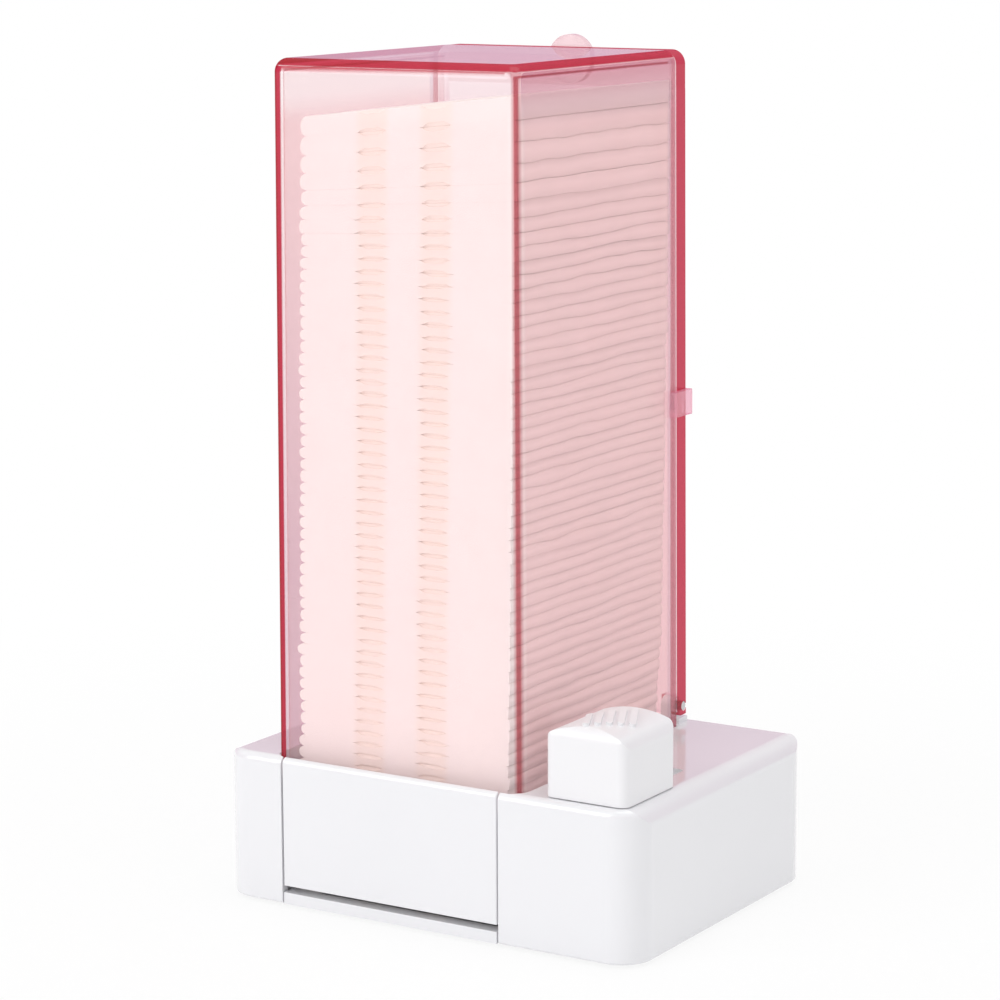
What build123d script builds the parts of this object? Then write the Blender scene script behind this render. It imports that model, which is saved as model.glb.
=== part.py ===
from build123d import *
import os
from math import cos, floor, radians, sin, tan

# Wipe dispenser, millimetres, +Z up.
# A white base carries a tinted tower full of cotton wipes.
# The knob beside the tower drives a carriage under the stack,
# and the lowest wipe leaves through the slot low in the front.
# The origin is the centre of the base's footprint on the surface it stands on.
# Front is -Y, and the knob is on the right, at +X.

os.makedirs("parts", exist_ok=True)

# Base shell
base_height = 31.5
base_wall = 2.0
deck_thickness = 2.0
base_corner = 7.0
side_round = 4.0
front_round = 1.8
bottom_round = 0.6
foot_height = 0.8

# Tower cover, a five-sided tinted box that is open at the back
cover_rise = 144.0
cover_seat = 4.0
cover_wall = 1.65
cover_from_left = 13.25
cover_from_front = 1.3
cover_past_panel_left = 2.55
cover_past_panel_right = 5.1
draft_angle = 0.283
cover_edge_round = 3.0
cover_top_round = 2.8
seat_clearance = 0.3
seat_floor = 2.0
seat_wall = 2.0

# Front panel and the slot below it
panel_thickness = 2.0
panel_seam = 0.4
panel_round = 1.4
panel_side_round = 0.3
slot_height = 1.5
sill_height = 2.5
flange_reach = 3.0
flange_thickness = 1.2
flange_lift = 1.2
flange_gap = 0.2

# Well that holds the stack inside the base
well_wall = 1.6
well_from_flange = 0.2
well_over_plate = 0.3
arm_window_height = 3.6
arm_window_margin = 1.0

# Bottom plate, its screws and its feet
plate_thickness = 1.2
plate_clearance = 0.2
rail_width = 6.5
rail_margin = 0.3
foot_radius = 5.0
foot_recess = 0.4
foot_clearance = 0.1
foot_inset_x = 16.0
foot_inset_y = 13.5
boss_radius = 2.6
cup_radius = 3.4
cup_height = 2.8
screw_radius = 1.2
screw_length = 8.0
screw_head_radius = 2.3
screw_head_height = 1.1
screw_head_clearance = 0.3
screw_hole_clearance = 0.2
screw_recess = 1.6
rear_screw_inset_x = 8.0
rear_screw_inset_y = 8.5
left_screw_inset_y = 8.5
knob_side_screw_inset_y = 6.0

# Wipes
wipe_width = 51.0
wipe_depth = 61.0
wipe_gap_left = 0.65
wipe_gap_right = 0.65
wipe_gap_front = 1.95
wipe_gap_back = 0.5
wipe_past_cover = 0.6
wipe_gap = 0.3
wipe_over_strip = 0.2
next_wipe_thickness = 1.0
wipe_pitch = 2.42
wipe_edge_press = 3.0
stack_lean = 0.019
stack_fan = 5.6
stack_head_room = 4.3
fanned_wipes = 22

# Knob and its grip ribs
knob_width = 18.6
knob_depth = 20.5
knob_side_height = 13.2
knob_crown = 1.9
knob_from_cover = 4.9
knob_from_right = 3.3
knob_from_front = 2.1
knob_wall = 1.8
knob_gap = 0.2
knob_front_round = 2.6
knob_back_round = 3.4
knob_side_round = 3.0
knob_edge_round = 1.9
rib_count = 5
rib_length = 11.0
rib_width = 1.35
rib_height = 0.6
rib_pitch = 2.25
rib_stagger = 0.75
rib_slant = 26.0
post_radius = 3.0
stem_in_knob = 3.5

# Slider under the deck
slider_travel = 16.2
stem_width = 8.6
stem_depth = 11.0
stem_clearance = 0.4
slot_corner = 1.0
clip_plate_thickness = 1.8
clip_plate_overhang = 2.6
clip_plate_gap = 0.2
clip_plate_lap = 2.0
web_thickness = 3.5
web_depth = 12.0
arm_depth = 6.8
arm_setback = 2.4
arm_thickness = 0.8
arm_over_plate = 0.2
carriage_width = 30.0
carriage_depth = 38.0
carriage_setback = 4.6
strip_margin = 3.0
strip_depth = 9.0
strip_from_front = 2.0
strip_recess = 0.3
strip_base = 0.4
strip_ridge = 0.25
strip_ridges = 5
guide_gap = 0.4
guide_thickness = 1.5
guide_height = 4.0

# Rear door, its hinge and its two side clips
door_gap = 0.25
door_plate = 2.0
door_rim = 2.0
door_lift = 1.85
door_from_back = 5.45
door_corner = 3.0
door_heel_round = 1.85
tab_radius = 5.2
tab_right_of_middle = 1.2
tab_rise = 2.6
tab_thickness = 2.0
hinge_lift = 3.7
hinge_pin_radius = 1.0
hinge_bore_clearance = 0.05
ear_radius = 1.9
ear_width = 2.6
ear_side_gap = 0.35
ear_foot_height = 1.2
ear_foot_inset = 0.2
notch_gap = 0.3
door_clip_height = 5.3
door_clip_rise = 67.4
door_clip_thickness = 1.2
door_clip_side_gap = 0.15
door_clip_reach = 3.05
door_clip_back = 0.8
door_clip_hold = 4.0
door_clip_round = 0.5

# Strip that holds the second wipe back
retard_margin = 4.15
retard_height = 4.0
retard_thickness = 0.6
retard_lift = 0.2

# Overall sizes: the wipes set the panel and the cover, and what stands on the base sets the base
panel_width = wipe_gap_left + wipe_width + wipe_gap_right
cover_width = cover_past_panel_left + panel_width + cover_past_panel_right
cover_depth = cover_wall + wipe_gap_front + wipe_depth - wipe_past_cover
base_width = cover_from_left + cover_width + knob_from_cover + knob_width + knob_from_right
base_depth = cover_from_front + cover_depth + door_gap + door_rim + door_plate + door_from_back
retard_width = panel_width - 2 * retard_margin
strip_width = carriage_width - 2 * strip_margin

# Levels
base_bottom = foot_height
deck_top = base_bottom + base_height
deck_under = deck_top - deck_thickness
plate_top = base_bottom + plate_thickness
sill_top = base_bottom + sill_height
slot_top = sill_top + slot_height
cover_bottom = deck_top - cover_seat
cover_top = deck_top + cover_rise
seat_under = cover_bottom - seat_floor

# Plan positions
base_left = -base_width / 2
base_right = base_width / 2
base_front = -base_depth / 2
base_back = base_depth / 2
wall_inside_front = base_front + base_wall
cover_left = base_left + cover_from_left
cover_right = cover_left + cover_width
cover_front = base_front + cover_from_front
cover_back = cover_front + cover_depth
cover_middle = (cover_left + cover_right) / 2
panel_left = cover_left + cover_past_panel_left
panel_right = panel_left + panel_width
panel_inside = base_front + panel_thickness
flange_inside = panel_inside + flange_thickness
well_front = flange_inside + well_from_flange

# Wipes sit in the well with a small gap on each side
wipe_right = panel_right - wipe_gap_right
wipe_left = wipe_right - wipe_width
carriage_bottom = plate_top + arm_over_plate
carriage_top = carriage_bottom + arm_thickness
strip_top = carriage_top - strip_recess + strip_base + strip_ridge
next_wipe_bottom = strip_top + wipe_over_strip
next_wipe_top = next_wipe_bottom + next_wipe_thickness
stack_bottom = next_wipe_top + wipe_gap
stack_room = cover_top - cover_wall - stack_head_room - stack_fan - stack_bottom
wipe_count = floor(stack_room / wipe_pitch)
wipe_front = cover_front + cover_wall + wipe_gap_front
wipe_back = wipe_front + wipe_depth
well_back = wipe_back + wipe_gap_back

# Knob, slot and slider
knob_right = base_right - knob_from_right
knob_left = knob_right - knob_width
knob_front = base_front + knob_from_front
knob_back = knob_front + knob_depth
knob_x = (knob_left + knob_right) / 2
knob_y = (knob_front + knob_back) / 2
knob_bottom = deck_top + knob_gap
knob_side_top = deck_top + knob_side_height
knob_top = knob_side_top + knob_crown
stem_front = knob_y - stem_depth / 2
stem_back = knob_y + stem_depth / 2
stem_top = deck_top + stem_in_knob
slot_front = stem_front - stem_clearance
slot_back = stem_back + slider_travel + stem_clearance
clip_plate_top = deck_under - clip_plate_gap
clip_plate_bottom = clip_plate_top - clip_plate_thickness
clip_plate_left = knob_x - stem_width / 2 - clip_plate_overhang
clip_plate_right = knob_x + stem_width / 2 + clip_plate_overhang
web_left = clip_plate_left + stem_clearance
web_right = web_left + web_thickness
arm_front = knob_y + arm_setback - arm_depth / 2
arm_back = arm_front + arm_depth
carriage_front = wipe_front + carriage_setback
carriage_middle = (wipe_left + wipe_right) / 2
carriage_right = carriage_middle + carriage_width / 2

# Door and hinge
door_front = cover_back + door_gap
door_inside = door_front + door_rim
door_back = door_inside + door_plate
door_bottom = deck_top + door_lift
hinge_y = (door_inside + door_back) / 2
hinge_z = deck_top + hinge_lift
ear_outer = cover_right - cover_wall - ear_side_gap
ear_inner = ear_outer - ear_width
pin_outer = cover_right - ear_foot_inset

# Screw places: two at the back, one at the front left, one between the well and the slider's web
knob_side_screw_x = (panel_right + well_wall + web_left) / 2
screw_places = [
    (base_left + rear_screw_inset_x, base_front + left_screw_inset_y),
    (base_left + rear_screw_inset_x, base_back - rear_screw_inset_y),
    (base_right - rear_screw_inset_x, base_back - rear_screw_inset_y),
    (knob_side_screw_x, base_front + knob_side_screw_inset_y),
]
foot_places = {
    "foot_front_left": (base_left + foot_inset_x, base_front + foot_inset_y),
    "foot_front_right": (base_right - foot_inset_x, base_front + foot_inset_y),
    "foot_back_left": (base_left + foot_inset_x, base_back - foot_inset_y),
    "foot_back_right": (base_right - foot_inset_x, base_back - foot_inset_y),
}
cup_top = base_bottom + cup_height
cut_margin = 1.0


def draft_at(height):
    """How far each side of the tower has drawn in at this height."""
    return (height - cover_bottom) * tan(radians(draft_angle))


def block(x_low, x_high, y_low, y_high, z_low, z_high, mode=Mode.ADD):
    """A plain box between two corners, in the part that is being built."""
    middle = ((x_low + x_high) / 2, (y_low + y_high) / 2, (z_low + z_high) / 2)
    with Locations(middle):
        Box(x_high - x_low, y_high - y_low, z_high - z_low, mode=mode)


def upright(places, radius, z_low, z_high, mode=Mode.ADD):
    """Vertical cylinders on the given plan places."""
    with Locations([(x, y, z_low) for x, y in places]):
        Cylinder(radius, z_high - z_low, mode=mode, align=(Align.CENTER, Align.CENTER, Align.MIN))


def mirrored_x(x):
    """The same place on the other side of the tower's middle."""
    return 2 * cover_middle - x


def tower_rectangle(height, inset, back):
    """The tower's outline at one height, drawn in by the draft and by an inset."""
    drawn_in = draft_at(height) + inset
    width = cover_width - 2 * drawn_in
    front = cover_front + drawn_in
    with BuildSketch(Plane.XY.offset(height)) as outline:
        with Locations((cover_middle, (front + back) / 2)):
            Rectangle(width, back - front)
    return outline


def tower_block(inset, bottom, top, back_reach):
    """A drafted block with round front and top edges, used outside and inside the cover."""
    with BuildPart() as drafted:
        low = tower_rectangle(bottom, inset, cover_back - draft_at(bottom) + back_reach)
        high = tower_rectangle(top, inset, cover_back - draft_at(top) + back_reach)
        loft([low.sketch, high.sketch], ruled=True)
        uprights = drafted.edges().filter_by(lambda edge: abs(edge.tangent_at(0.5).Z) > 0.9)
        fillet(uprights.sort_by(Axis.Y)[:2], cover_edge_round - inset)
        top_edges = drafted.edges().group_by(Axis.Z)[-1]
        back_edge = top_edges.sort_by(Axis.Y)[-1]
        fillet([edge for edge in top_edges if edge != back_edge], cover_top_round - inset)
    return drafted.part


# Base housing: shell, seat for the cover, well, screw bosses, knob slot and hinge ears
with BuildPart() as base_housing:
    with BuildSketch(Plane.XY.offset(base_bottom)):
        RectangleRounded(base_width, base_depth, base_corner)
    extrude(amount=base_height)
    fillet(base_housing.edges().group_by(Axis.Z)[-1], front_round)
    fillet(base_housing.edges().group_by(Axis.Z)[0], bottom_round)
    with BuildSketch(Plane.XZ) as front_profile:
        with Locations((0, base_bottom + base_height / 2)):
            Rectangle(base_width, base_height)
        fillet(front_profile.vertices().group_by(Axis.Y)[-1], side_round)
    extrude(amount=base_depth, both=True, mode=Mode.INTERSECT)
    with BuildSketch(Plane.YZ) as side_profile:
        with Locations((0, base_bottom + base_height / 2)):
            Rectangle(base_depth, base_height)
        fillet(side_profile.vertices().group_by(Axis.Y)[-1].sort_by(Axis.X)[-1], side_round)
    extrude(amount=base_width, both=True, mode=Mode.INTERSECT)
    with BuildSketch(Plane.XY.offset(base_bottom)):
        RectangleRounded(base_width - 2 * base_wall, base_depth - 2 * base_wall, base_corner - base_wall)
    extrude(amount=base_height - deck_thickness, mode=Mode.SUBTRACT)
    seat_left = cover_left - seat_clearance
    seat_right = cover_right + seat_clearance
    seat_front = cover_front - seat_clearance
    seat_back = cover_back + seat_clearance
    block(seat_left - seat_wall, seat_right + seat_wall, wall_inside_front,
          well_back + well_wall, seat_under, deck_under)
    block(panel_left - well_wall, panel_right + well_wall, well_front,
          well_back + well_wall, plate_top + well_over_plate, seat_under)
    upright(screw_places, boss_radius, cup_top, deck_under)
    block(panel_left, panel_right, base_front, well_back, base_bottom, deck_top, mode=Mode.SUBTRACT)
    block(panel_right, panel_right + well_wall, arm_front - arm_window_margin,
          arm_back + slider_travel + arm_window_margin, base_bottom, arm_window_height, mode=Mode.SUBTRACT)
    with BuildSketch(Plane.XY.offset(cover_bottom)) as seat:
        with Locations(((seat_left + seat_right) / 2, (seat_front + seat_back) / 2)):
            Rectangle(seat_right - seat_left, seat_back - seat_front)
        fillet(seat.vertices().group_by(Axis.Y)[0], cover_edge_round + seat_clearance)
    extrude(amount=cover_seat, mode=Mode.SUBTRACT)
    block(panel_left - panel_seam, panel_right + panel_seam, base_front - cut_margin,
          panel_inside + flange_gap, 0, deck_top, mode=Mode.SUBTRACT)
    with BuildSketch(Plane.XY.offset(deck_under)):
        with Locations((knob_x, (slot_front + slot_back) / 2)):
            RectangleRounded(stem_width + 2 * stem_clearance, slot_back - slot_front, slot_corner)
    extrude(amount=deck_thickness, mode=Mode.SUBTRACT)
    upright(screw_places, screw_radius, cup_top, cup_top + screw_length, mode=Mode.SUBTRACT)
    for inner, outer, foot_outer in (
        (ear_inner, ear_outer, pin_outer),
        (mirrored_x(ear_outer), mirrored_x(ear_inner), mirrored_x(pin_outer)),
    ):
        with BuildSketch(Plane.YZ.offset(inner)):
            with Locations((hinge_y, hinge_z)):
                Circle(ear_radius)
            with Locations((hinge_y, (deck_top + hinge_z) / 2)):
                Rectangle(2 * ear_radius, hinge_z - deck_top)
            with Locations((hinge_y, hinge_z)):
                Circle(hinge_pin_radius, mode=Mode.SUBTRACT)
        extrude(amount=outer - inner)
        block(min(inner, foot_outer), max(outer, foot_outer), hinge_y - ear_radius,
              hinge_y + ear_radius, deck_top, deck_top + ear_foot_height)
base_housing.part.label = "base_housing"

# Front panel: it closes the well between two seams and ends above the slot
with BuildPart() as front_panel:
    block(panel_left, panel_right, base_front, panel_inside, slot_top, deck_top)
    top_front = front_panel.edges().group_by(Axis.Z)[-1].sort_by(Axis.Y)[0]
    fillet(top_front, panel_round)
    sides = front_panel.edges().filter_by(Axis.Z).group_by(Axis.Y)[0]
    fillet(sides, panel_side_round)
    block(panel_left, panel_right, cover_front - seat_clearance, panel_inside,
          cover_bottom, deck_top, mode=Mode.SUBTRACT)
    block(panel_left - flange_reach, panel_right + flange_reach, panel_inside, flange_inside,
          slot_top + flange_lift, seat_under - flange_gap)
front_panel.part.label = "front_panel"

# Bottom plate: sill under the slot, rails for the lowest wipe, cups for the screws
with BuildPart() as bottom_plate:
    plate_width = base_width - 2 * (base_wall + plate_clearance)
    plate_depth = base_depth - 2 * (base_wall + plate_clearance)
    with BuildSketch(Plane.XY.offset(base_bottom)):
        RectangleRounded(plate_width, plate_depth, base_corner - base_wall - plate_clearance)
    extrude(amount=plate_thickness)
    block(panel_left, panel_right, base_front, flange_inside, base_bottom, sill_top)
    rail_back = wipe_back
    block(wipe_left - rail_margin, wipe_left - rail_margin + rail_width, flange_inside, rail_back,
          plate_top, sill_top)
    block(wipe_right + rail_margin - rail_width, wipe_right + rail_margin,
          arm_back + slider_travel + arm_window_margin, rail_back, plate_top, sill_top)
    block(web_right + guide_gap, web_right + guide_gap + guide_thickness, stem_front,
          slot_back, plate_top, plate_top + guide_height)
    upright(screw_places, cup_radius, base_bottom, cup_top)
    head_room = screw_head_radius + screw_head_clearance
    upright(screw_places, head_room, 0, base_bottom + screw_recess, mode=Mode.SUBTRACT)
    upright(screw_places, screw_radius + screw_hole_clearance, 0, cup_top, mode=Mode.SUBTRACT)
    upright(foot_places.values(), foot_radius + foot_clearance, 0, base_bottom + foot_recess,
            mode=Mode.SUBTRACT)
bottom_plate.part.label = "bottom_plate"

# Four pan-head screws that hold the bottom plate
with BuildPart() as bottom_screws:
    head_top = base_bottom + screw_recess
    upright(screw_places, screw_head_radius, head_top - screw_head_height, head_top)
    upright(screw_places, screw_radius, head_top, cup_top + screw_length)
bottom_screws.part.label = "bottom_screws"

# Four feet in shallow recesses of the bottom plate
feet = {}
for foot_name, place in foot_places.items():
    with BuildPart() as foot:
        upright([place], foot_radius, 0, base_bottom + foot_recess)
        fillet(foot.edges().group_by(Axis.Z)[0], foot_recess)
    foot.part.label = foot_name
    feet[foot_name] = foot.part

# Tower cover: drafted, open at the back and below
with BuildPart() as tower_cover:
    add(tower_block(0, cover_bottom, cover_top, 0))
    hollow_bottom = cover_bottom - cut_margin
    add(tower_block(cover_wall, hollow_bottom, cover_top - cover_wall, cover_edge_round), mode=Mode.SUBTRACT)
tower_cover.part.label = "tower_cover"

# Rear door: it leans with the cover's back edges
door_plane = Plane(
    origin=(cover_middle, door_back - draft_at(deck_top), deck_top),
    x_dir=(1, 0, 0),
    z_dir=(0, -cos(radians(draft_angle)), -sin(radians(draft_angle))),
)


def door_outline(inset, low, high, corner, forward):
    """The door's outline, with its sides drawn in like the tower's, on the leaning plane."""
    half_low = cover_width / 2 - draft_at(low) - inset
    half_high = cover_width / 2 - draft_at(high) - inset
    with BuildSketch(door_plane.offset(forward)) as outline:
        with BuildLine():
            Polyline(
                (-half_low, low - deck_top),
                (half_low, low - deck_top),
                (half_high, high - deck_top - inset),
                (-half_high, high - deck_top - inset),
                close=True,
            )
        make_face()
        fillet(outline.vertices().group_by(Axis.Y)[-1], corner - inset)
    return outline.sketch


with BuildPart() as door_shape:
    extrude(door_outline(0, door_bottom, cover_top, door_corner, 0), amount=door_plate + door_rim)
    heel = door_shape.edges().group_by(Axis.Z)[0].sort_by(Axis.Y)[0]
    fillet(heel, door_heel_round)
    with BuildSketch(door_plane):
        with Locations((tab_right_of_middle, cover_rise + tab_rise - tab_radius)):
            Circle(tab_radius)
    extrude(amount=-tab_thickness)

with BuildPart() as rear_door:
    add(door_shape.part)
    door_hollow = door_outline(cover_wall, deck_top - door_rim, cover_top, door_corner, door_plate)
    extrude(door_hollow, amount=door_rim + cut_margin, mode=Mode.SUBTRACT)
    for inner, outer in ((ear_inner, ear_outer), (mirrored_x(ear_outer), mirrored_x(ear_inner))):
        block(inner - notch_gap, outer + notch_gap, door_inside - door_rim - cut_margin,
              door_back + cut_margin, deck_top, hinge_z + ear_radius + notch_gap, mode=Mode.SUBTRACT)
    bore_radius = hinge_pin_radius + hinge_bore_clearance
    for bore_start in (ear_outer, mirrored_x(cover_right)):
        with BuildSketch(Plane.YZ.offset(bore_start)):
            with Locations((hinge_y, hinge_z)):
                Circle(bore_radius)
        extrude(amount=cover_right - ear_outer, mode=Mode.SUBTRACT)
rear_door.part.label = "rear_door"

# Short pins, held in the ears, that the door's rim turns on
hinge_pins = {}
for pin_name, start, end in (
    ("hinge_pin_right", ear_inner, pin_outer),
    ("hinge_pin_left", mirrored_x(pin_outer), mirrored_x(ear_inner)),
):
    with BuildPart() as hinge_pin:
        with BuildSketch(Plane.YZ.offset(start)):
            with Locations((hinge_y, hinge_z)):
                Circle(hinge_pin_radius)
        extrude(amount=end - start)
    hinge_pin.part.label = pin_name
    hinge_pins[pin_name] = hinge_pin.part

# Clips on the door's sides that reach forward over the cover
clip_low = deck_top + door_clip_rise
clip_high = clip_low + door_clip_height
clip_side = cover_right - draft_at(clip_low) + door_clip_side_gap
clip_back = door_back - draft_at(clip_low) + door_clip_back
clip_front = cover_back - draft_at(clip_low) - door_clip_reach
door_clips = {}
for clip_name, left, right, hold_left, hold_right in (
    ("door_clip_right", clip_side, clip_side + door_clip_thickness,
     clip_side - door_clip_hold, clip_side),
    ("door_clip_left", mirrored_x(clip_side + door_clip_thickness), mirrored_x(clip_side),
     mirrored_x(clip_side), mirrored_x(clip_side - door_clip_hold)),
):
    with BuildPart() as door_clip:
        block(left, right, clip_front, clip_back, clip_low, clip_high)
        block(hold_left, hold_right, door_inside, clip_back, clip_low, clip_high)
        fillet(door_clip.edges().filter_by(Axis.Z).group_by(Axis.Y)[-1], door_clip_round)
        add(door_shape.part, mode=Mode.SUBTRACT)
    door_clip.part.label = clip_name
    door_clips[clip_name] = door_clip.part

# Stack of wipes: the pressed side edges make a row of points down each side
def wipe_level(number, share_across):
    """Height of the lower face of one wipe, where the top ones fan open to the right."""
    loose = max(0.0, number - (wipe_count - fanned_wipes)) / fanned_wipes
    return stack_bottom + number * wipe_pitch + share_across * stack_fan * loose * loose


def leaned(x, z):
    """A point of the front outline, moved sideways by the stack's lean."""
    return (x + stack_lean * (z - stack_bottom), z)


with BuildPart() as wipe_stack:
    left_side = []
    right_side = []
    for number in range(wipe_count):
        low_left = wipe_level(number, 0)
        low_right = wipe_level(number, 1)
        middle_left = (low_left + wipe_level(number + 1, 0)) / 2
        middle_right = (low_right + wipe_level(number + 1, 1)) / 2
        left_side.append(leaned(wipe_left + wipe_edge_press, low_left))
        left_side.append(leaned(wipe_left, middle_left))
        right_side.append(leaned(wipe_right - wipe_edge_press, low_right))
        right_side.append(leaned(wipe_right, middle_right))
    left_side.append(leaned(wipe_left + wipe_edge_press, wipe_level(wipe_count, 0)))
    right_side.append(leaned(wipe_right - wipe_edge_press, wipe_level(wipe_count, 1)))
    with BuildSketch(Plane.XZ.offset(-wipe_front)):
        with BuildLine():
            Polyline(*left_side, *reversed(right_side), close=True)
        make_face()
    extrude(amount=-wipe_depth)
wipe_stack.part.label = "wipe_stack"

# Lowest wipe, ready to be pushed out through the slot
with BuildPart() as next_wipe:
    block(wipe_left, wipe_right, wipe_front, wipe_back, next_wipe_bottom, next_wipe_top)
    fillet(next_wipe.edges().filter_by(Axis.Z), wipe_edge_press)
next_wipe.part.label = "next_wipe"

# Strip behind the panel's lower edge that keeps the second wipe back
with BuildPart() as retard_strip:
    retard_middle = (panel_left + panel_right) / 2
    block(retard_middle - retard_width / 2, retard_middle + retard_width / 2, flange_inside,
          flange_inside + retard_thickness, slot_top + retard_lift, slot_top + retard_lift + retard_height)
retard_strip.part.label = "retard_strip"


def knob_block(extra):
    """The knob's outer form, with its top raised by an extra height for the ribs."""
    with BuildPart() as form:
        with BuildSketch(Plane.XY.offset(knob_bottom)):
            with Locations((knob_x, knob_y)):
                RectangleRounded(knob_width, knob_depth, knob_edge_round)
        extrude(amount=knob_top + extra - knob_bottom)
        with BuildSketch(Plane.XZ) as front_view:
            with BuildLine():
                Polyline(
                    (knob_left, knob_side_top + extra),
                    (knob_left, knob_bottom),
                    (knob_right, knob_bottom),
                    (knob_right, knob_side_top + extra),
                )
                ThreePointArc(
                    (knob_left, knob_side_top + extra),
                    (knob_x, knob_top + extra),
                    (knob_right, knob_side_top + extra),
                )
            make_face()
            fillet(front_view.vertices().group_by(Axis.Y)[-1], knob_side_round)
        extrude(amount=base_depth, both=True, mode=Mode.INTERSECT)
        with BuildSketch(Plane.YZ) as side_view:
            with Locations((knob_y, (knob_bottom + knob_top + extra) / 2)):
                Rectangle(knob_depth, knob_top + extra - knob_bottom)
            upper = side_view.vertices().group_by(Axis.Y)[-1].sort_by(Axis.X)
            fillet(upper[0], knob_front_round)
            fillet(upper[-1], knob_back_round)
        extrude(amount=base_width, both=True, mode=Mode.INTERSECT)
    return form.part


# Grip ribs run slantwise over the knob's top and follow its crown
with BuildPart() as grip_ribs:
    with BuildSketch(Plane.XY.offset(knob_side_top - knob_wall / 2)):
        for number in range(rib_count):
            step = number - (rib_count - 1) / 2
            across = step * rib_pitch
            along = step * rib_stagger
            slant = radians(rib_slant)
            rib_x = knob_x + across * cos(slant) - along * sin(slant)
            rib_y = knob_y + across * sin(slant) + along * cos(slant)
            with Locations(Location((rib_x, rib_y), rib_slant + 90)):
                SlotOverall(rib_length, rib_width)
    extrude(amount=knob_side_height)
    add(knob_block(rib_height), mode=Mode.INTERSECT)

# Knob: a hollow cap with a post for its screw
with BuildPart() as slider_knob:
    add(knob_block(0))
    add(grip_ribs.part)
    block(knob_left + knob_wall, knob_right - knob_wall, knob_front + knob_wall, knob_back - knob_wall,
          knob_bottom, knob_side_top - knob_wall, mode=Mode.SUBTRACT)
    upright([(knob_x, knob_y)], post_radius, stem_top, knob_side_top - knob_wall)
    upright([(knob_x, knob_y)], screw_radius, stem_top, knob_side_top - knob_wall, mode=Mode.SUBTRACT)
slider_knob.part.label = "slider_knob"

# Arm: stem through the deck, clip plate that also closes the slot from below, web and foot
with BuildPart() as slider_arm:
    block(knob_x - stem_width / 2, knob_x + stem_width / 2, stem_front, stem_back,
          clip_plate_top, stem_top)
    block(clip_plate_left, clip_plate_right, stem_front, slot_back + clip_plate_lap,
          clip_plate_bottom, clip_plate_top)
    block(web_left, web_right, knob_y - web_depth / 2, knob_y + web_depth / 2,
          carriage_top, clip_plate_bottom)
    block(carriage_right, web_right, arm_front, arm_back, carriage_bottom, carriage_top)
    upright([(knob_x, knob_y)], screw_radius + screw_hole_clearance, clip_plate_bottom, stem_top,
            mode=Mode.SUBTRACT)
slider_arm.part.label = "slider_arm"

# Screw that holds the knob on the stem, driven from below
with BuildPart() as knob_screw:
    upright([(knob_x, knob_y)], screw_head_radius, clip_plate_bottom - screw_head_height, clip_plate_bottom)
    upright([(knob_x, knob_y)], screw_radius, clip_plate_bottom, knob_side_top - knob_wall)
knob_screw.part.label = "knob_screw"

# Carriage plate that slides under the lowest wipe
strip_low = carriage_top - strip_recess
strip_front = carriage_front + strip_from_front
with BuildPart() as carriage_plate:
    block(carriage_middle - carriage_width / 2, carriage_right, carriage_front,
          carriage_front + carriage_depth, carriage_bottom, carriage_top)
    block(carriage_middle - strip_width / 2, carriage_middle + strip_width / 2, strip_front,
          strip_front + strip_depth, strip_low, carriage_top, mode=Mode.SUBTRACT)
carriage_plate.part.label = "carriage_plate"

# Rubber strip with low ridges that takes the wipe along
with BuildPart() as grip_strip:
    block(carriage_middle - strip_width / 2, carriage_middle + strip_width / 2, strip_front,
          strip_front + strip_depth, strip_low, strip_low + strip_base)
    ridge_depth = strip_depth / (2 * strip_ridges - 1)
    for number in range(strip_ridges):
        ridge_front = strip_front + 2 * number * ridge_depth
        block(carriage_middle - strip_width / 2, carriage_middle + strip_width / 2, ridge_front,
              ridge_front + ridge_depth, strip_low + strip_base, strip_top)
grip_strip.part.label = "grip_strip"

finished = [
    base_housing.part, front_panel.part, bottom_plate.part, bottom_screws.part,
    *feet.values(), tower_cover.part, rear_door.part, *hinge_pins.values(),
    *door_clips.values(), wipe_stack.part, next_wipe.part, retard_strip.part,
    slider_knob.part, slider_arm.part, knob_screw.part, carriage_plate.part, grip_strip.part,
]
for piece in finished:
    export_step(piece, f"parts/{piece.label}.step")
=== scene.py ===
"""Looks of the wipe dispenser: white base, tinted tower, cotton wipes. Metres, +Z up, front at -Y."""
import math

import bpy
import numpy as np
from mathutils import Matrix, Vector


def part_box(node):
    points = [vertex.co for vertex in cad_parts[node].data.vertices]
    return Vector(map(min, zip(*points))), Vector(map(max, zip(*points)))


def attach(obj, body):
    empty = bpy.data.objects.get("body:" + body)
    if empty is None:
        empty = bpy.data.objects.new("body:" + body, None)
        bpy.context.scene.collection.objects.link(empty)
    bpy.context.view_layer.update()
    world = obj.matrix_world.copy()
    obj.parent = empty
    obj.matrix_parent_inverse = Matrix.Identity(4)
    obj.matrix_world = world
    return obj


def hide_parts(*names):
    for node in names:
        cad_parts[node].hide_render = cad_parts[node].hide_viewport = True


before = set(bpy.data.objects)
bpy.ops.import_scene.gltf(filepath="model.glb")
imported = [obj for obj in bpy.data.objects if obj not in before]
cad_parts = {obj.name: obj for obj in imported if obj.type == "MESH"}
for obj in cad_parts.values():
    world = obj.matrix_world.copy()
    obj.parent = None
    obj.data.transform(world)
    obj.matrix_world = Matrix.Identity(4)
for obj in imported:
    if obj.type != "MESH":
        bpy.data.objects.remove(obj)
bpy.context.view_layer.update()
MM = 0.001
wipe_low, wipe_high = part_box("next_wipe")
stack_low, stack_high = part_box("wipe_stack")
cover_low, cover_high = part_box("tower_cover")
door_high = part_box("rear_door")[1]
cover_middle = (cover_low + cover_high) / 2
TAB_THICKNESS = 2.0 * MM
TAB_HEIGHT = 10.7 * MM
TAB_MARGIN = 0.1 * MM
WIPE_WIDTH = wipe_high.x - wipe_low.x
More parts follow.
